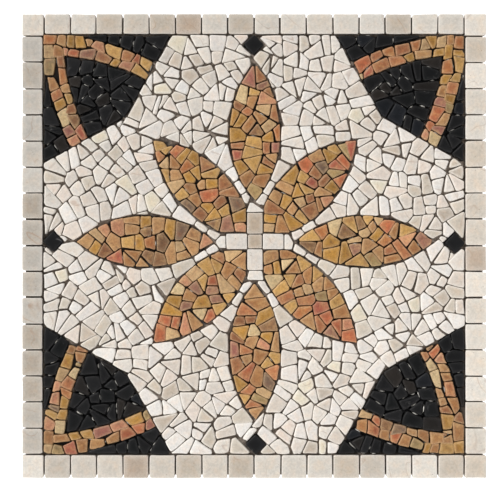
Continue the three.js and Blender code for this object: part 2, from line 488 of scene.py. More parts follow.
def straightened(poly, most=16.0):
    """The polygon with each run of slightly turning rim edges cut straight across."""
    kept = list(poly)
    i = 0
    while i < len(kept) and len(kept) > 3:
        before, here, after = kept[i - 1], kept[i], kept[(i + 1) % len(kept)]
        if before[2] == here[2] == RIM and corner_angle(before, here, after) > 180.0 - most:
            del kept[i]
        else:
            i += 1
    return kept


def without_short_edges(poly, least):
    kept = []
    for i, p in enumerate(poly):
        if math.dist(p[:2], poly[i - 1][:2]) >= least or len(poly) - i + len(kept) <= 3:
            kept.append(p)
    return kept


def lay(outline, chip_area, rng, cells=None, clump=3.0, loose=0.6):
    """Fills an area: returns its chips' outlines, and the shared lines between them."""
    cells = cells or cells_of(settled(scattered(outline, chip_area * clump, rng), outline, 1), outline)
    chips, lines = [], []
    for parts in cells:
        for part in parts:
            part = without_short_edges(part, 1.2)
            if len(part) < 3:
                continue
            for piece in broken(part, chip_area, rng):
                piece = straightened(without_short_edges(piece, 1.2))
                if len(piece) < 3:
                    continue
                lines += [
                    (p[:2], q[:2])
                    for p, q in zip(piece, piece[1:] + piece[:1])
                    if p[2] == INNER
                ]
                chip = without_short_edges(chip_in(piece, rng, loose), 1.3)
                if len(chip) < 3 or area_of(chip) < LEAST_AREA:
                    continue
                if widths_of(chip)[0] < LEAST_WIDTH:
                    continue
                chips.append(chip)
    return chips, lines


# ---------------------------------------------------------------- stone meshes


class Builder:
    """Gathers stones into one mesh, with a tone, a grain offset and a rim value at each point."""

    def __init__(self):
        self.points, self.faces = [], []
        self.tones, self.drifts, self.rims = [], [], []

    def add_ring(self, ring, depths, rim, tone, drift):
        first = len(self.points)
        for (x, z), depth in zip(ring, depths):
            x, z = max(-PANEL_HALF, min(PANEL_HALF, x)), max(-PANEL_HALF, min(PANEL_HALF, z))
            self.points.append((x * MM, -depth * MM, z * MM))
            self.tones.append((*tone, 1.0))
            self.drifts.append(drift)
            self.rims.append(rim)
        return range(first, len(self.points))

    def band(self, low, high):
        count = len(low)
        for i in range(count):
            j = (i + 1) % count
            self.faces.append((low[i], low[j], high[j], high[i]))

    def triangles(self):
        return sum(len(face) - 2 for face in self.faces)

    def piece(self, name, slot, material, *nodes):
        mesh = bpy.data.meshes.new(name)
        mesh.from_pydata(self.points, [], self.faces)
        mesh.shade_smooth()
        for label, kind, field, values in (
            ("tone", "FLOAT_COLOR", "color", self.tones),
            ("drift", "FLOAT_VECTOR", "vector", self.drifts),
            ("rim", "FLOAT", "value", self.rims),
        ):
            layer = mesh.attributes.new(label, kind, "POINT")
            layer.data.foreach_set(field, np.array(values, np.float32).ravel())
        mesh.validate()
        mesh.materials.append(material)
        piece = bpy.data.objects.new(name, mesh)
        bpy.context.scene.collection.objects.link(piece)
        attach(piece, "root")
        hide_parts(*nodes)
        return piece


def rounded(corners, radii, wobble, per_edge):
    """The outline with rounded corners: three points a corner and per_edge along each edge."""
    count = len(corners)
    steps = []
    for p, q in zip(corners, corners[1:] + corners[:1]):
        length = max(math.dist(p, q), 1e-6)
        steps.append(((q[0] - p[0]) / length, (q[1] - p[1]) / length, length))
    starts, ends, middles = [], [], []
    for i, p in enumerate(corners):
        (ax, az, before), (bx, bz, after) = steps[i - 1], steps[i]
        turn = max(-0.98, min(0.999, ax * bx + az * bz))
        run = min(radii[i] * math.sqrt((1 - turn) / (1 + turn)), 0.38 * min(before, after))
        starts.append((p[0] - ax * run, p[1] - az * run))
        ends.append((p[0] + bx * run, p[1] + bz * run))
        middles.append((
            0.25 * starts[i][0] + 0.5 * p[0] + 0.25 * ends[i][0],
            0.25 * starts[i][1] + 0.5 * p[1] + 0.25 * ends[i][1],
        ))
    ring = []
    for i in range(count):
        ring += [starts[i], middles[i], ends[i]]
        one, two = ends[i], starts[(i + 1) % count]
        dx, dz, length = steps[i]
        for k in range(per_edge):
            t = (k + 1) / (per_edge + 1)
            out = wobble[i * per_edge + k] * min(1.0, length / 8.0)
            ring.append((
                one[0] + t * (two[0] - one[0]) + dz * out,
                one[1] + t * (two[1] - one[1]) - dx * out,
            ))
    return ring


def reaches(sides, centre, ways, inset):
    """How far the convex outline, moved in by inset, lies from the centre in each direction."""
    found = []
    for ux, uz in ways:
        reach = 1e9
        for nx, nz, away in sides:
            rate = nx * ux + nz * uz
            if rate > 1e-6:
                reach = min(reach, (away - inset) / rate)
        found.append(max(reach, 0.0))
    return found


def add_stone(builder, corners, rng, tone, *, top, wear, corner_radius, tilt=0.028, bow=0.22, per_edge=2):
    """One tumbled stone: straight sides, a worn edge all round, and a slightly uneven face."""
    corners = anticlockwise([p[:2] for p in corners])
    wobble = []
    for _ in corners:
        bulge = rng.gauss(0.4 * bow, bow)
        wobble += [min(bulge + rng.gauss(0.0, 0.35 * bow), 1.7 * bow) for _ in range(per_edge)]
    centre = centroid_of(corners)
    slope = (rng.gauss(0.0, tilt), rng.gauss(0.0, tilt))
    dome = rng.uniform(0.0, 0.12)
    drift = tuple(rng.uniform(-40.0, 40.0) for _ in range(3))
    radii = [corner_radius * rng.uniform(0.5, 1.6) for _ in corners]
    outer = rounded(corners, radii, wobble, per_edge)
    spans = [math.dist(centre, p) for p in outer]
    ways = [((x - centre[0]) / span, (z - centre[1]) / span) for (x, z), span in zip(outer, spans)]
    sides = [
        (nx, nz, limit - nx * centre[0] - nz * centre[1])
        for nx, nz, limit in sides_of(corners, [0.0] * len(corners))
    ]
    full = reaches(sides, centre, ways, 0.0)
    rings = (
        # inset, depth below the top, rim value, the first two as shares of the wear
        (0.2, None, 0.3),
        (0.0, 1.15, 0.75),
        (0.26, 0.42, 1.0),
        (0.78, 0.07, 1.0),
        (1.3, 0.0, 0.4),
    )

    def depths(ring, below):
        found = []
        for x, z in ring:
            lean = slope[0] * (x - centre[0]) + slope[1] * (z - centre[1])
            uneven = rng.gauss(0.0, 0.018)
            found.append(min(top + lean - below + uneven, STONE_TOP))
        return found

    def ring_at(shares):
        return [
            (centre[0] + share * span * ux, centre[1] + share * span * uz)
            for share, span, (ux, uz) in zip(shares, spans, ways)
        ]

    made = []
    shares = [1.0] * len(outer)
    for inset, below, rim in rings:
        worn = [reach / whole for reach, whole in zip(reaches(sides, centre, ways, inset * wear), full)]
        if below is None:
            ring = ring_at(worn)
            made.append(builder.add_ring(ring, [STONE_BACK] * len(ring), rim, tone, drift))
            continue
        if inset:
            shares = [max(min(w, 0.98 * s), 0.4 * s) for w, s in zip(worn, shares)]
        ring = ring_at(shares)
        made.append(builder.add_ring(ring, depths(ring, below * wear), rim, tone, drift))
    middle = ring_at([0.5 * s for s in shares])
    made.append(builder.add_ring(middle, depths(middle, -dome), 0.0, tone, drift))
    for low, high in zip(made, made[1:]):
        builder.band(low, high)
    heart = builder.add_ring([centre], depths([centre], -1.2 * dome), 0.0, tone, drift)[0]
    inner = made[-1]
    for i, here in enumerate(inner):
        builder.faces.append((here, inner[(i + 1) % len(inner)], heart))
    builder.faces.append(tuple(reversed(made[0])))


# ---------------------------------------------------------------- colours


def linear(red, green, blue):
    """A colour given as 0 to 255 screen values, as light."""
    def one(v):
        v /= 255.0
        return v / 12.92 if v <= 0.04045 else ((v + 0.055) / 1.055) ** 2.4

    return (one(red), one(green), one(blue))


PALE_TONES = (
    (10, linear(206, 199, 190)),
    (10, linear(210, 204, 198)),
    (8, linear(201, 193, 184)),
    (6, linear(196, 186, 175)),
    (4, linear(189, 179, 165)),
    (4, linear(216, 212, 207)),
    (4, linear(207, 195, 184)),
    (2, linear(179, 167, 153)),
    (1, linear(206, 197, 177)),
)
BORDER_TONES = (
    (6, linear(203, 195, 184)),
    (6, linear(208, 201, 191)),
    (4, linear(197, 188, 176)),
    (3, linear(190, 179, 165)),
    (2, linear(212, 206, 197)),
    (1, linear(178, 162, 146)),
)
OCHRE_TONES = (
    (22, linear(164, 119, 48)),
    (18, linear(152, 104, 60)),
    (15, linear(174, 134, 74)),
    (12, linear(163, 121, 78)),
    (10, linear(139, 89, 54)),
    (8, linear(178, 146, 105)),
    (4, linear(193, 169, 128)),
    (4, linear(163, 100, 54)),
    (5, linear(170, 118, 87)),
    (3, linear(138, 95, 76)),
    (4, linear(142, 119, 78)),
    (6, linear(119, 84, 54)),
    (2, linear(108, 84, 66)),
)
RED_TONES = (
    (5, linear(164, 88, 54)),
    (3, linear(156, 80, 60)),
    (4, linear(160, 100, 62)),
    (2, linear(148, 92, 78)),
    (2, linear(180, 122, 92)),
)
BLACK_TONES = (
    (6, linear(15, 15, 16)),
    (4, linear(11, 12, 13)),
    (3, linear(19, 19, 20)),
    (2, linear(23, 20, 18)),
    (1, linear(30, 26, 23)),
    (1, linear(16, 18, 22)),
)


def tone_from(palette, rng, spread=0.035):
    """A tone from the palette, a little lighter or darker each time."""
    tone = rng.choices([t for _, t in palette], [w for w, _ in palette])[0]
    level = 1.0 + rng.gauss(0.0, spread)
    return tuple(v * level for v in tone)


# ---------------------------------------------------------------- node materials


class Nodes:
    """A material's node tree, with short names for the nodes it takes."""

    def __init__(self, name):
        self.material = bpy.data.materials.new(name)
        self.material.use_nodes = True
        self.tree = self.material.node_tree
        self.shader = self.tree.nodes["Principled BSDF"]

    def link(self, source, target):
        if isinstance(source, (int, float)):
            target.default_value = source
        elif isinstance(source, tuple):
            target.default_value = source if len(source) == 4 or target.type == "VECTOR" else (*source, 1.0)
        else:
            self.tree.links.new(source, target)

    def attribute(self, name, output):
        node = self.tree.nodes.new("ShaderNodeAttribute")
        node.attribute_name = name
        return node.outputs[output]

    def own_place(self):
        """Object coordinates moved by each stone's own drift, so that no pattern runs on into the next stone."""
        coords = self.tree.nodes.new("ShaderNodeTexCoord")
        node = self.tree.nodes.new("ShaderNodeVectorMath")
        node.operation = "ADD"
        self.link(coords.outputs["Object"], node.inputs[0])
        self.link(self.attribute("drift", "Vector"), node.inputs[1])
        return node.outputs[0]

    def place(self):
        return self.tree.nodes.new("ShaderNodeTexCoord").outputs["Object"]

    def noise(self, place, scale, detail=3.0, roughness=0.55, distortion=0.0):
        node = self.tree.nodes.new("ShaderNodeTexNoise")
        self.link(place, node.inputs["Vector"])
        node.inputs["Scale"].default_value = scale
        node.inputs["Detail"].default_value = detail
        node.inputs["Roughness"].default_value = roughness
        node.inputs["Distortion"].default_value = distortion
        return node.outputs["Fac"]

    def spots(self, place, scale, randomness=1.0):
        node = self.tree.nodes.new("ShaderNodeTexVoronoi")
        self.link(place, node.inputs["Vector"])
        node.inputs["Scale"].default_value = scale
        node.inputs["Randomness"].default_value = randomness
        return node.outputs["Distance"]

    def math(self, operation, one, two=0.0):
        node = self.tree.nodes.new("ShaderNodeMath")
        node.operation = operation
        self.link(one, node.inputs[0])
        self.link(two, node.inputs[1])
        return node.outputs[0]

    def ramp(self, value, low, high, out_low=0.0, out_high=1.0):
        node = self.tree.nodes.new("ShaderNodeMapRange")
        node.clamp = True
        self.link(value, node.inputs["Value"])
        for key, number in (
            ("From Min", low), ("From Max", high), ("To Min", out_low), ("To Max", out_high)
        ):
            node.inputs[key].default_value = number
        return node.outputs["Result"]

    def mix(self, share, one, two, mode="MIX"):
        node = self.tree.nodes.new("ShaderNodeMix")
        node.data_type = "RGBA"
        node.blend_type = mode
        self.link(share, node.inputs["Factor"])
        self.link(one, node.inputs[6])
        self.link(two, node.inputs[7])
        return node.outputs[2]

    def scaled(self, colour, level):
        """A colour with its brightness multiplied by a value."""
        node = self.tree.nodes.new("ShaderNodeVectorMath")
        node.operation = "SCALE"
        self.link(colour, node.inputs[0])
        self.link(level, node.inputs["Scale"])
        return node.outputs[0]

    def bump(self, height, distance, strength=1.0, onto=None):
        node = self.tree.nodes.new("ShaderNodeBump")
        node.inputs["Distance"].default_value = distance
        node.inputs["Strength"].default_value = strength
        self.link(height, node.inputs["Height"])
        if onto is not None:
            self.link(onto, node.inputs["Normal"])
        return node.outputs["Normal"]

    def finish(self, colour, roughness, normal, specular=0.5):
        self.link(colour, self.shader.inputs["Base Color"])
        self.link(roughness, self.shader.inputs["Roughness"])
        self.link(normal, self.shader.inputs["Normal"])
        self.shader.inputs["Specular IOR Level"].default_value = specular
        return self.material


def veined(nodes, place, scale, width):
    """Thin wandering lines, 1 on a vein and 0 off it."""
    wander = nodes.noise(place, scale, detail=2.5, roughness=0.5, distortion=0.8)
    off = nodes.math("ABSOLUTE", nodes.math("SUBTRACT", wander, 0.5))
    return nodes.ramp(off, 0.0, width, 1.0, 0.0)


def pale_marble(name, vein_strength, pit_share):
    """Cream tumbled marble: soft clouds, fine grain, a few brownish veins and small pits."""
    nodes = Nodes(name)
    place = nodes.own_place()
    clouds = nodes.noise(place, 95.0, detail=5.0, roughness=0.6)
    grain = nodes.noise(place, 900.0, detail=3.0, roughness=0.7)
    tone = nodes.attribute("tone", "Color")
    warm = nodes.mix(nodes.ramp(clouds, 0.45, 0.68, 0.0, 0.6), tone, (0.95, 0.84, 0.74), "MULTIPLY")
    mottle = nodes.noise(place, 330.0, detail=4.0, roughness=0.65)
    level = nodes.math(
        "ADD", nodes.ramp(clouds, 0.28, 0.72, 0.9, 1.1), nodes.ramp(grain, 0.3, 0.7, -0.04, 0.04)
    )
    level = nodes.math("ADD", level, nodes.ramp(mottle, 0.36, 0.64, -0.09, 0.08))
    colour = nodes.scaled(warm, level)
    where = nodes.ramp(nodes.noise(place, 22.0, detail=2.0), 0.44, 0.62)
    veins = nodes.math("MULTIPLY", veined(nodes, place, 13.0, 0.0075), where)
    veins = nodes.math("MULTIPLY", veins, vein_strength)
    colour = nodes.mix(veins, colour, linear(150, 118, 92))
    pits = nodes.ramp(nodes.spots(place, 300.0), 0.1, 0.2, 1.0, 0.0)
    pits = nodes.math("MULTIPLY", pits, nodes.ramp(nodes.noise(place, 130.0), 0.56, 0.66, 0.0, pit_share))
    colour = nodes.mix(pits, colour, linear(128, 108, 88))
    # Lighter rims: partly worn, chalky stone and partly a painted highlight along every edge.
    worn_rim_and_highlight = nodes.math("MULTIPLY", nodes.attribute("rim", "Fac"), nodes.ramp(grain, 0.35, 0.65, 0.2, 0.65))
    colour = nodes.mix(worn_rim_and_highlight, colour, linear(236, 232, 225))
    height = nodes.math("SUBTRACT", nodes.math("ADD", nodes.math("MULTIPLY", grain, 0.3), clouds), pits)
    roughness = nodes.ramp(grain, 0.3, 0.7, 0.62, 0.8)
    return nodes.finish(colour, roughness, nodes.bump(height, 0.25 * MM, 0.6), specular=0.4)


def ochre_marble():
    """Ochre and red marble: cloudy patches of a yellower and a browner tone, dark stains and veins."""
    nodes = Nodes("ochre_marble")
    place = nodes.own_place()
    clouds = nodes.noise(place, 80.0, detail=6.0, roughness=0.62, distortion=0.4)
    patches = nodes.noise(place, 170.0, detail=4.0, roughness=0.6)
    grain = nodes.noise(place, 1000.0, detail=3.0, roughness=0.7)
    tone = nodes.attribute("tone", "Color")
    colour = nodes.mix(nodes.ramp(clouds, 0.5, 0.72, 0.0, 0.5), tone, linear(190, 152, 100))
    colour = nodes.mix(nodes.ramp(clouds, 0.47, 0.28, 0.0, 0.5), colour, linear(132, 80, 46))
    stain = nodes.math("MULTIPLY", nodes.ramp(patches, 0.58, 0.74), nodes.ramp(clouds, 0.62, 0.4, 0.0, 0.55))
    colour = nodes.mix(stain, colour, linear(80, 54, 38))
    veins = nodes.math("MULTIPLY", veined(nodes, place, 18.0, 0.018), nodes.ramp(patches, 0.42, 0.58, 0.0, 0.32))
    colour = nodes.mix(veins, colour, linear(92, 58, 38))
    mottle = nodes.noise(place, 330.0, detail=4.0, roughness=0.65)
    colour = nodes.scaled(colour, nodes.ramp(mottle, 0.36, 0.62, 0.78, 1.13))
    colour = nodes.scaled(colour, nodes.ramp(grain, 0.3, 0.7, 0.88, 1.12))
    # Lighter rims: partly worn stone and partly a painted highlight along every edge.
    worn_rim_and_highlight = nodes.math("MULTIPLY", nodes.attribute("rim", "Fac"), nodes.ramp(grain, 0.35, 0.65, 0.06, 0.42))
    colour = nodes.mix(worn_rim_and_highlight, colour, linear(214, 186, 148))
    height = nodes.math("ADD", nodes.math("MULTIPLY", grain, 0.35), patches)
    roughness = nodes.ramp(grain, 0.3, 0.7, 0.5, 0.72)
    return nodes.finish(colour, roughness, nodes.bump(height, 0.25 * MM, 0.55), specular=0.4)


def black_marble():
    """Near-black marble with faint clouds and rare pale hairlines."""
    nodes = Nodes("black_marble")
    place = nodes.own_place()
    clouds = nodes.noise(place, 85.0, detail=5.0, roughness=0.6)
    grain = nodes.noise(place, 850.0, detail=3.0, roughness=0.7)
    tone = nodes.attribute("tone", "Color")
    level = nodes.math(
        "ADD", nodes.ramp(clouds, 0.3, 0.7, 0.75, 1.35), nodes.ramp(grain, 0.35, 0.7, -0.1, 0.25)
    )
    colour = nodes.scaled(tone, level)
    where = nodes.ramp(nodes.noise(place, 55.0, detail=2.0), 0.6, 0.68)
    hairs = nodes.math("MULTIPLY", veined(nodes, place, 20.0, 0.003), where)
    colour = nodes.mix(nodes.math("MULTIPLY", hairs, 0.3), colour, linear(150, 148, 146))
    # Lighter rims: partly worn stone and partly a painted highlight along every edge.
    worn_rim_and_highlight = nodes.math("MULTIPLY", nodes.attribute("rim", "Fac"), nodes.ramp(grain, 0.4, 0.7, 0.02, 0.14))
    colour = nodes.mix(worn_rim_and_highlight, colour, linear(120, 118, 118))
    height = nodes.math("ADD", nodes.math("MULTIPLY", grain, 0.4), clouds)
    roughness = nodes.ramp(grain, 0.3, 0.7, 0.42, 0.62)
    return nodes.finish(colour, roughness, nodes.bump(height, 0.2 * MM, 0.5), specular=0.14)


GLUE_WHITE = linear(226, 222, 214)
# A grey that the beads' adhesive is mixed with, to make them less bright.
BEAD_DIMMING_GREY = linear(146, 143, 138)


def adhesive():
    """Milky adhesive, a little uneven and dusty, mixed with a tint: on the film the stone that shows through from
    behind, on the beads a plain grey that dims them.
    """
    nodes = Nodes("adhesive")
    place = nodes.place()
    smear = nodes.noise(place, 60.0, detail=5.0, roughness=0.6)
    lumps = nodes.noise(place, 420.0, detail=3.0)
    colour = nodes.mix(nodes.ramp(smear, 0.4, 0.7), GLUE_WHITE, linear(204, 198, 188))
    colour = nodes.mix(nodes.ramp(smear, 0.36, 0.64, 0.35, 0.8), colour, nodes.attribute("tint", "Color"))
    height = nodes.math("ADD", smear, nodes.math("MULTIPLY", lumps, 0.4))
    return nodes.finish(colour, nodes.ramp(lumps, 0.3, 0.7, 0.4, 0.65), nodes.bump(height, 0.4 * MM, 0.7))


def dust_and_shade_bed():
    """The adhesive at the bottom of the joints, with stone dust in it, mixed towards near-black where its shade
    value is low, a painted shade for the deep joints.
    """
    nodes = Nodes("dust_and_shade_bed")
    place = nodes.place()
    dust = nodes.noise(place, 420.0, detail=5.0, roughness=0.7)
    lumps = nodes.noise(place, 700.0, detail=3.0)
    colour = nodes.mix(nodes.ramp(dust, 0.38, 0.66), linear(104, 92, 82), linear(158, 146, 134))
    # Near-black painted shade in the deep joints, mixed in where the shade value is low.
    colour = nodes.mix(nodes.attribute("shade", "Fac"), linear(26, 26, 28), colour)
    height = nodes.math("ADD", dust, nodes.math("MULTIPLY", lumps, 0.5))
    return nodes.finish(colour, nodes.ramp(lumps, 0.3, 0.7, 0.75, 0.95), nodes.bump(height, 0.5 * MM, 0.8))


def glass_thread():
    """Coated glass-fibre thread, slightly soiled, with a fine grain."""
    nodes = Nodes("glass_thread")
    place = nodes.place()
    strands = nodes.noise(place, 1800.0, detail=2.0)
    soil = nodes.noise(place, 30.0, detail=3.0)
    colour = nodes.mix(nodes.ramp(soil, 0.4, 0.7), linear(236, 236, 230), linear(214, 211, 202))
    colour = nodes.scaled(colour, nodes.ramp(strands, 0.3, 0.7, 0.88, 1.05))
    return nodes.finish(colour, nodes.ramp(strands, 0.3, 0.7, 0.35, 0.6), nodes.bump(strands, 0.1 * MM, 0.6))


border_marble = pale_marble("border_marble", 0.55, 0.9)
ground_marble = pale_marble("ground_marble", 0.45, 0.55)
petal_marble = ochre_marble()
dark_marble = black_marble()
white_adhesive = adhesive()
bed_material = dust_and_shade_bed()
thread_material = glass_thread()

shared_lines = {"pale": [], "ochre": [], "black": []}


# ---------------------------------------------------------------- areas of broken chips


def chips_piece(
    name, node, slot, material, outline, chip_area, tone_of, seed,
    cells=None, clump=3.0, loose=0.6, corner_radius=1.8,
):
    rng = random.Random(seed)
    chips, lines = lay(outline, chip_area, rng, cells=cells, clump=clump, loose=loose)
    builder = Builder()
    for chip in chips:
        tone = tone_of(centroid_of(chip), rng)
        top = STONE_TOP - abs(rng.gauss(0.0, 0.45)) - 0.2
        add_stone(
            builder, chip, rng, tone, top=top, wear=rng.uniform(1.1, 1.8), corner_radius=corner_radius, bow=0.28,
            tilt=0.048,
        )
    builder.piece(name, slot, material, node)
    print(name, len(chips), "chips", builder.triangles(), "triangles")
    return len(chips), lines


def pale_tone(place, rng):
    return tone_from(PALE_TONES, rng)


def black_tone(place, rng):
    return tone_from(BLACK_TONES, rng, 0.08)


def ochre_tone_towards(start, end, most, shade=1.0):
    """Tones for an ochre area: red chips get commoner from start to end, up to this share."""
    run = math.dist(start, end)

    def tone_at(place, rng):
        along = ((place[0] - start[0]) * (end[0] - start[0]) + (place[1] - start[1]) * (end[1] - start[1])) / run**2
        share = most * max(0.0, min(1.0, along)) ** 2
        tone = tone_from(RED_TONES if rng.random() < share else OCHRE_TONES, rng, 0.1)
        return tuple(shade * v for v in tone)

    return tone_at


def flower_centre():
    low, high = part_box("centre_square")
    return ((low.x + high.x) / 2 / MM, (low.z + high.z) / 2 / MM)


CENTRE = flower_centre()
GROUND_CHIP = 305.0
PETAL_CHIP = 246.0
BAND_CHIP = 225.0
LEAF_CHIP = 330.0
WEDGE_CHIP = 300.0
BAND_WIDTH = 26.7
BAND_RADIUS = 316.0


def finger_seeds(outline, pitch=18.5, widest=15.5):
    """Seeds in single file along each narrow strip of the ground between two petals."""
    seeds = []
    for k in range(8):
        middle = math.radians(22.5 + 45.0 * k)
        strip = []
        for radius in range(20, 140):
            places = []
            for j in range(-90, 91):
                angle = middle + math.radians(j / 5)
                places.append((CENTRE[0] + radius * math.cos(angle), CENTRE[1] + radius * math.sin(angle)))
            inside = [place for place, held in zip(places, outline.holding(places)) if held]
            if len(inside) > 1 and math.dist(inside[0], inside[-1]) < widest:
                strip.append(inside[len(inside) // 2])
        seeds += strip[round(0.45 * pitch)::round(pitch)]
    return seeds


def make_ground():
    outline = Outline(back_loops("ground"))
    rng = random.Random(10)
    fingers = finger_seeds(outline)
    seeds = settled(scattered(outline, GROUND_CHIP * 3.0, rng, fingers), outline, 1)
    seeds = fingers + [s for s in seeds if all(math.dist(s, f) > 13.0 for f in fingers)]
    count, lines = chips_piece(
        "ground_chips", "ground", "pale_marble", ground_marble, outline, GROUND_CHIP, pale_tone, 11,
        cells=cells_of(seeds, outline), loose=0.48, corner_radius=1.9,
    )
    shared_lines["pale"] += lines
    


def make_petals():
    names = sorted(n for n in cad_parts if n.startswith("petal_"))
    for i, node in enumerate(names):
        loop = hull_outline([node])
        far = max(loop, key=lambda p: math.dist(p, CENTRE))
        diagonal = node.count("_") == 2
        count, lines = chips_piece(
            node + "_chips", node, "ochre_marble", petal_marble, Outline([loop]), PETAL_CHIP,
            ochre_tone_towards(CENTRE, far, 0.6 if diagonal else 0.25), 100 + i, loose=0.36, corner_radius=1.2,
        )
        shared_lines["ochre"] += lines


def corner_axes(name):
    """The border's inner corner at this corner field, and the way the field runs from it in x and in z."""
    low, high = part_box(f"corner_band_{name}")
    sx = 1.0 if "left" in name else -1.0
    sz = -1.0 if "top" in name else 1.0
    x = (low.x if sx > 0 else high.x) / MM - sx * JOINT / 2
    z = (high.z if sz < 0 else low.z) / MM - sz * JOINT / 2
    return (x, z), sx, sz


def band_cells(corner, sx, sz, outline, rng):
    """Two rows of cut pieces along each arm of the band. One arm's rows run on into the corner."""
    half = BAND_WIDTH / 2
    upright_first = rng.random() < 0.5
    cells = []
    for first in (True, False):
        upright = first == upright_first
        phase = rng.uniform(0.0, 6.0)

        def place(run, share):
            turn = run / BAND_RADIUS
            radius = BAND_RADIUS - BAND_WIDTH * share
            a, b = radius * math.sin(turn), BAND_RADIUS - radius * math.cos(turn)
            a, b = (b, a) if upright else (a, b)
            return (corner[0] + sx * a, corner[1] + sz * b, INNER)

        def middle(run):
            wander = 0.15 * math.sin(run / 9.0 + phase) + 0.07 * math.sin(run / 4.0 + 2.0 * phase)
            return 0.5 + wander * min(1.0, run / 45.0)

        for row in (0, 1):
            run = half * row if first else half * (row + 1) + 1.2 * row
            low, high = (-0.1, None) if row == 0 else (None, 1.1)
            cut = (run, run)
            while run < 230.0:
                run += rng.uniform(11.0, 27.0)
                end = (run + rng.uniform(-5.0, 5.0), run + rng.uniform(-5.0, 5.0))
                quad = [
                    place(cut[0], middle(cut[0]) if low is None else low),
                    place(end[0], middle(end[0]) if low is None else low),
                    place(end[1], middle(end[1]) if high is None else high),
                    place(cut[1], middle(cut[1]) if high is None else high),
                ]
                cells.append(outline.fitted(anticlockwise(quad)))
                cut = end
    return cells


def make_corner_fields():
    names = [n[len("corner_band_"):] for n in sorted(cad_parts) if n.startswith("corner_band_")]
    for i, name in enumerate(names):
        rng = random.Random(300 + i)
        corner, sx, sz = corner_axes(name)
        band = Outline(back_loops(f"corner_band_{name}"))
        cells = band_cells(corner, sx, sz, band, rng)
        middle = (corner[0] + sx * 60.0, corner[1] + sz * 60.0)
        far_end = (corner[0] + sx * 110.0, corner[1] + sz * 110.0)
        count, lines = chips_piece(
            f"corner_band_{name}_chips", f"corner_band_{name}", "ochre_marble", petal_marble, band, BAND_CHIP,
            ochre_tone_towards(corner, middle, 0.4, 0.84), 320 + i, cells=cells,
            loose=0.25, corner_radius=1.2,
        )
        shared_lines["ochre"] += lines
        leaf_count, lines = chips_piece(
            f"corner_leaf_{name}_chips", f"corner_leaf_{name}", "black_marble", dark_marble,
            Outline([hull_outline([f"corner_leaf_{name}"])]), LEAF_CHIP, black_tone, 340 + i, loose=0.9,
        )
        shared_lines["black"] += lines
        for k, way in enumerate(("level", "upright")):
            node = f"corner_wedge_{way}_{name}"
            _, lines = chips_piece(
                node + "_chips", node, "black_marble", dark_marble, Outline(back_loops(node)), WEDGE_CHIP,
                black_tone, 360 + 2 * i + k, clump=1.6, loose=0.9,
            )
            shared_lines["black"] += lines


# ---------------------------------------------------------------- cut tiles


def rectangle(low_x, low_z, high_x, high_z):
    return [(low_x, low_z), (high_x, low_z), (high_x, high_z), (low_x, high_z)]


def uneven(corners, rng, amount):
    """Cut tiles are never quite square."""
    return [(x + rng.gauss(0.0, amount), z + rng.gauss(0.0, amount)) for x, z in corners]


def add_tile(builder, corners, rng, tone, radius=1.7):
    top = STONE_TOP - 0.05 - abs(rng.gauss(0.0, 0.18))
    add_stone(
        builder, corners, rng, tone, top=top, wear=rng.uniform(0.6, 1.0), corner_radius=radius,
        tilt=0.006, bow=0.12, per_edge=5,
    )


TILES_A_ROW = 16


def kept_inside(corners, node):
    """Corners held within the CAD node's own box."""
    low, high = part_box(node)
    return [
        (min(max(x, low.x / MM), high.x / MM), min(max(z, low.z / MM), high.z / MM)) for x, z in corners
    ]


def make_border():
    rng = random.Random(500)
    # Each side's level is painted light: the left row is made darkest, top and bottom a little darker than the
    # right, standing for light that falls brighter on the right of the panel.
    for side, shade in (("top", 0.9), ("right", 1.0), ("bottom", 0.88), ("left", 0.72)):
        node = f"border_row_{side}"
        low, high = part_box(node)
        level = side in ("top", "bottom")
        start, end = (low.x / MM, high.x / MM) if level else (low.z / MM, high.z / MM)
        pitch = (end - start + JOINT) / TILES_A_ROW
        cuts = [start - JOINT / 2 + k * pitch for k in range(TILES_A_ROW + 1)]
        cuts = [cuts[0]] + [c + rng.gauss(0.0, 0.35) for c in cuts[1:-1]] + [cuts[-1]]
        builder = Builder()
        for one, two in zip(cuts, cuts[1:]):
            a, b = one + rng.uniform(0.75, 1.1), two - rng.uniform(0.75, 1.1)
            if level:
                corners = rectangle(a, low.z / MM, b, high.z / MM)
            else:
                corners = rectangle(low.x / MM, a, high.x / MM, b)
            corners = kept_inside(uneven(corners, rng, 0.22), node)
            tone = tuple(shade * v for v in tone_from(BORDER_TONES, rng))
            add_tile(builder, corners, rng, tone)
        builder.piece(f"border_row_{side}_tiles", "border_marble", border_marble, node)


def make_single_tiles():
    """The border's corner tiles, the cross and the dark squares: one piece each."""
    rng = random.Random(600)
    for node in sorted(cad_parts):
        if node.startswith("border_corner"):
            low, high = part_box(node)
            corners = rectangle(low.x / MM, low.z / MM, high.x / MM, high.z / MM)
            tone, slot, material = tone_from(BORDER_TONES, rng), "border_marble", border_marble
        elif node.startswith(("centre_square", "centre_arm")):
            low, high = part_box(node)
            corners = rectangle(low.x / MM, low.z / MM, high.x / MM, high.z / MM)
            dull = node in ("centre_square", "centre_arm_top")
            tone = linear(170, 155, 138) if dull else linear(202, 195, 187)
            slot, material = "pale_marble", border_marble
        elif node.startswith("centre_cap"):
            corners = hull_outline([node])
            tone, slot, material = linear(211, 205, 197), "pale_marble", ground_marble
        elif node.startswith("dark_square"):
            low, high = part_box(node)
            x, z = (low.x + high.x) / 2 / MM, (low.z + high.z) / 2 / MM
            reach = (high.x - low.x) / 2 / MM + 0.7
            corners = [(x, z - reach), (x + reach, z), (x, z + reach), (x - reach, z)]
            tone, slot, material = linear(17, 17, 18), "black_marble", dark_marble
        else:
            continue
        corners = kept_inside(uneven(corners, rng, 0.2), node)
        builder = Builder()
        add_tile(builder, corners, rng, tone, radius=1.4 if node.startswith("centre") else 1.2)
        builder.piece(node + "_stone", slot, material, node)


# ---------------------------------------------------------------- net and adhesive

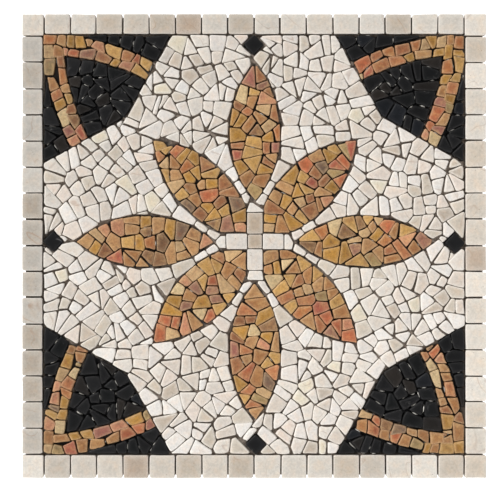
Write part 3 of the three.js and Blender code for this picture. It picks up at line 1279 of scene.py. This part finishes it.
THREAD_PITCH = 5.0
THREAD_WIDTH = 0.9

# How high the adhesive stands in the joints above the back, how much of its pale dusty colour shows
# (the rest is a near-black painted shade for the deep joints, under the black chips partly dark stone
# dust), and the colour of the stone that shows through it from behind.
BED_LEVELS = {"pale": 3.8, "ochre": 1.4, "black": 1.2}
BED_SHADES = {"pale": 0.85, "ochre": 0.12, "black": 0.0}
BACK_TINTS = {
    "pale": linear(188, 180, 168),
    "ochre": linear(150, 112, 74),
    "black": linear(44, 42, 42),
}


def mesh_piece(
    name, points, faces, materials, face_materials=None, nodes=("backing_net",),
    shade=None, tints=None,
):
    mesh = bpy.data.meshes.new(name)
    mesh.from_pydata(points, [], faces)
    mesh.shade_smooth()
    for material in materials:
        mesh.materials.append(material)
    if face_materials:
        mesh.polygons.foreach_set("material_index", face_materials)
    layer = mesh.attributes.new("shade", "FLOAT", "POINT")
    layer.data.foreach_set("value", np.array(shade or [1.0] * len(points), np.float32))
    tints = [(*tint, 1.0) for tint in tints or [GLUE_WHITE] * len(points)]
    layer = mesh.attributes.new("tint", "FLOAT_COLOR", "POINT")
    layer.data.foreach_set("color", np.array(tints, np.float32).ravel())
    mesh.validate()
    piece = bpy.data.objects.new(name, mesh)
    bpy.context.scene.collection.objects.link(piece)
    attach(piece, "root")
    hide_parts(*nodes)
    return piece


def make_threads():
    """The net's warp and weft. A thread rises over one crossing thread and dips under the next."""
    low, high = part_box("backing_net")
    half = (high.x - low.x) / 2 / MM - 0.5
    count = int(2 * half // THREAD_PITCH)
    margin = half - count * THREAD_PITCH / 2
    rng = random.Random(700)
    for name, upright in (("net_warp", True), ("net_weft", False)):
        points, faces = [], []
        for k in range(count + 1):
            across = -half + margin + k * THREAD_PITCH
            drift = rng.gauss(0.0, 0.25)
            width = THREAD_WIDTH * rng.uniform(0.8, 1.2) * (0.8 if upright else 1.1)
            first = len(points)
            for j in range(count + 1):
                along = -half + j * 2 * half / count
                wave = 0.5 + 0.5 * (-1) ** (j + k + upright)
                ridge = 0.02 + 0.08 * wave
                side = across + drift + rng.gauss(0.0, 0.07)
                for offset, depth in ((-width / 2, THREAD_TOP), (width / 2, THREAD_TOP), (0.0, ridge)):
                    x, z = (side + offset, along) if upright else (along, side + offset)
                    points.append((x * MM, -depth * MM, z * MM))
            for j in range(count):
                for s in range(3):
                    t = (s + 1) % 3
                    a, b = first + 3 * j, first + 3 * (j + 1)
                    faces.append((a + s, a + t, b + t, b + s) if upright else (a + s, b + s, b + t, a + t))
            last = first + 3 * count
            ends = [(first + 2, first + 1, first), (last, last + 1, last + 2)]
            faces += ends if upright else [tuple(reversed(end)) for end in ends]
        mesh_piece(name, points, faces, [thread_material])


def make_film():
    """The film of adhesive that the net is set in: dusty in front, white behind."""
    low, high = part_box("backing_net")
    half = (high.x - low.x) / 2 / MM
    steps = 130
    rng = random.Random(710)
    points, faces, kinds = [], [], []
    for front in (True, False):
        for j in range(steps + 1):
            for i in range(steps + 1):
                x, z = -half + 2 * half * i / steps, -half + 2 * half * j / steps
                depth = FILM_TOP - rng.uniform(0.0, 0.1) if front else FILM_BACK - rng.uniform(0.0, 0.1)
                points.append((x * MM, -depth * MM, z * MM))
    row = steps + 1
    back = row * row
    for j in range(steps):
        for i in range(steps):
            a = j * row + i
            faces.append((a, a + 1, a + row + 1, a + row))
            kinds.append(0)
            faces.append((back + a, back + a + row, back + a + row + 1, back + a + 1))
            kinds.append(1)
    rim = rim_of_grid(steps)
    for a, b in zip(rim, rim[1:] + rim[:1]):
        faces.append((a, back + a, back + b, b))
        kinds.append(1)
    stones = kinds_at([(x / MM, z / MM) for x, _, z in points])
    mesh_piece(
        "adhesive_film", points, faces, [bed_material, white_adhesive], kinds,
        tints=[BACK_TINTS[stone] for stone in stones],
    )


def kinds_at(places):
    """Whether pale, ochre or black stone lies over each place."""
    kinds = np.array(["pale"] * len(places), dtype="<U5")
    for node in sorted(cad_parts):
        if node.startswith("petal_"):
            kinds[Outline([hull_outline([node])]).holding(places)] = "ochre"
        elif node.startswith("corner_band_"):
            kinds[Outline(back_loops(node)).holding(places)] = "ochre"
        elif node.startswith(("corner_leaf_", "corner_wedge_", "dark_square_")):
            kinds[Outline([hull_outline([node])]).holding(places)] = "black"
    return kinds


def make_bed():
    """The adhesive that fills the lower part of the joints inside the border."""
    nodes = [n for n in sorted(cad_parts) if n == "ground" or n.startswith(("petal_", "corner_band_"))]
    low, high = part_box("ground")
    half = (high.x - low.x) / 2 / MM
    steps = 130
    places = [
        (-half + 2 * half * i / steps, -half + 2 * half * j / steps)
        for j in range(steps + 1) for i in range(steps + 1)
    ]
    kinds = kinds_at(places)
    levels = [BED_LEVELS[kind] for kind in kinds]
    points = []
    for (x, z), level in zip(places, levels):
        lumps = 0.7 * noise.noise(Vector((x / 17.0, z / 17.0, 0.0)))
        lumps += 0.5 * noise.noise(Vector((x / 6.0, z / 6.0, 4.0)))
        points.append((x * MM, -(level + min(1.0, level / 4.0) * lumps) * MM, z * MM))
    row = steps + 1
    faces = [
        (a, a + 1, a + row + 1, a + row)
        for j in range(steps) for a in range(j * row, j * row + steps)
    ]
    rim = rim_of_grid(steps)
    first = len(points)
    points += [(points[i][0], -(FILM_TOP - 0.15) * MM, points[i][2]) for i in rim]
    below = range(first, len(points))
    for k in range(len(rim)):
        n = (k + 1) % len(rim)
        faces.append((rim[k], below[k], below[n], rim[n]))
    faces.append(tuple(reversed(below)))
    # Low shade values mix in the near-black painted shade of the ochre and black joints.
    shade = [BED_SHADES[kind] for kind in kinds] + [1.0] * len(below)
    mesh_piece("joint_adhesive", points, faces, [bed_material], nodes=nodes, shade=shade)


def rim_of_grid(steps):
    """The indices round the outside of a square grid of points, anticlockwise."""
    row = steps + 1
    return (
        list(range(steps))
        + [j * row + steps for j in range(steps)]
        + [steps * row + i for i in range(steps, 0, -1)]
        + [j * row for j in range(steps, 0, -1)]
    )


def make_beads():
    """Adhesive squeezed up in the joints, mostly between the dark chips: short low ridges."""
    rng = random.Random(720)
    points, faces = [], []
    for kind, share in (("pale", 0.03), ("ochre", 0.1), ("black", 0.36)):
        for (ax, az), (bx, bz) in shared_lines[kind]:
            length = math.hypot(bx - ax, bz - az)
            if length < 6.0 or rng.random() > share:
                continue
            run = min(length * rng.uniform(0.25, 0.65), 9.0)
            at = rng.uniform(0.2 * length + run / 2, 0.8 * length - run / 2) if run < 0.55 * length else length / 2
            dx, dz = (bx - ax) / length, (bz - az) / length
            top = rng.uniform(9.3, 9.85) if kind == "black" else rng.uniform(7.5, 9.4)
            wide = rng.uniform(0.9, 1.5)
            first = len(points)
            rows = 6
            for j in range(rows + 1):
                t = j / rows
                swell = math.sin(math.pi * t) ** 0.5 if 0 < j < rows else 0.15
                along = at + (t - 0.5) * run
                x, z = ax + dx * along, az + dz * along
                for across, rise in ((-0.5, 0.0), (-0.42, 0.8), (0.0, 1.0), (0.42, 0.8), (0.5, 0.0)):
                    depth = FILM_TOP + (top - FILM_TOP) * swell * rise if rise else FILM_TOP - 0.2
                    out = across * wide * (0.55 + 0.45 * swell)
                    points.append(((x - dz * out) * MM, -depth * MM, (z + dx * out) * MM))
            for j in range(rows):
                for s in range(5):
                    t = (s + 1) % 5
                    a, b = first + 5 * j, first + 5 * (j + 1)
                    faces.append((a + s, b + s, b + t, a + t))
            last = first + 5 * rows
            faces.append(tuple(first + s for s in range(5)))
            faces.append(tuple(last + s for s in reversed(range(5))))
    mesh_piece(
        "adhesive_beads", points, faces, [white_adhesive],
        tints=[BEAD_DIMMING_GREY] * len(points),
    )


# ---------------------------------------------------------------- studio


def make_camera():
    """Square on to the face, at its height, framed a little off its middle."""
    data = bpy.data.cameras.new("camera")
    data.lens = 85.0
    data.sensor_width = 36.0
    camera = bpy.data.objects.new("camera", data)
    low, high = cad_bounds
    frame_width = 0.646
    distance = frame_width * data.lens / data.sensor_width
    camera.location = (-0.0054, low[1] - distance, -0.0044)
    camera.rotation_euler = (math.pi / 2, 0.0, 0.0)
    data.clip_end = 50.0
    bpy.context.scene.collection.objects.link(camera)
    bpy.context.scene.camera = camera


def make_studio():
    """A pale floor that curves up into a backdrop well behind the panel, a soft key light and even fill."""
    floor_level, back_at, front_at, half_width, bend = -0.62, 3.2, -4.0, 5.0, 0.8
    profile = [(front_at, floor_level), (back_at - bend, floor_level)]
    for k in range(1, 9):
        turn = k / 8 * math.pi / 2
        profile.append((back_at - bend + bend * math.sin(turn), floor_level + bend - bend * math.cos(turn)))
    profile.append((back_at, 4.0))
    points = [(side * half_width, y, z) for y, z in profile for side in (-1, 1)]
    faces = [(2 * k, 2 * k + 1, 2 * k + 3, 2 * k + 2) for k in range(len(profile) - 1)]
    mesh = bpy.data.meshes.new("backdrop")
    mesh.from_pydata(points, [], faces)
    mesh.shade_smooth()
    material = bpy.data.materials.new("backdrop")
    material.use_nodes = True
    shader = material.node_tree.nodes["Principled BSDF"]
    shader.inputs["Base Color"].default_value = (0.93, 0.93, 0.93, 1.0)
    shader.inputs["Roughness"].default_value = 0.9
    shader.inputs["Emission Color"].default_value = (1.0, 1.0, 1.0, 1.0)
    shader.inputs["Emission Strength"].default_value = 0.4
    mesh.materials.append(material)
    backdrop = bpy.data.objects.new("backdrop", mesh)
    bpy.context.scene.collection.objects.link(backdrop)

    world = bpy.data.worlds.new("world")
    bpy.context.scene.world = world
    world.use_nodes = True
    light = world.node_tree.nodes["Background"]
    light.inputs["Color"].default_value = (1.0, 1.0, 1.0, 1.0)
    seen = world.node_tree.nodes.new("ShaderNodeLightPath").outputs["Is Camera Ray"]
    level = world.node_tree.nodes.new("ShaderNodeMapRange")
    level.inputs["To Min"].default_value = 0.18
    level.inputs["To Max"].default_value = 1.0
    world.node_tree.links.new(seen, level.inputs["Value"])
    world.node_tree.links.new(level.outputs["Result"], light.inputs["Strength"])

    sun = bpy.data.lights.new("key", "SUN")
    sun.energy = 3.1
    sun.angle = math.radians(5.0)
    sun.color = (1.0, 0.995, 0.985)
    key = bpy.data.objects.new("key", sun)
    towards = Vector((-0.66, -0.58, 0.64))
    key.rotation_euler = towards.to_track_quat("Z", "Y").to_euler()
    bpy.context.scene.collection.objects.link(key)

    soft = bpy.data.lights.new("fill", "AREA")
    soft.energy = 1.4
    soft.size = 0.6
    fill = bpy.data.objects.new("fill", soft)
    fill.location = (0.95, -0.75, 0.1)
    fill.rotation_euler = Vector((0.65, -0.75, 0.1)).to_track_quat("Z", "Y").to_euler()
    fill.visible_camera = False
    bpy.context.scene.collection.objects.link(fill)
    bpy.context.scene.view_settings.view_transform = "Standard"


make_camera()
make_ground()
make_petals()
make_corner_fields()
make_border()
make_single_tiles()
make_threads()
make_film()
make_bed()
make_beads()
make_studio()
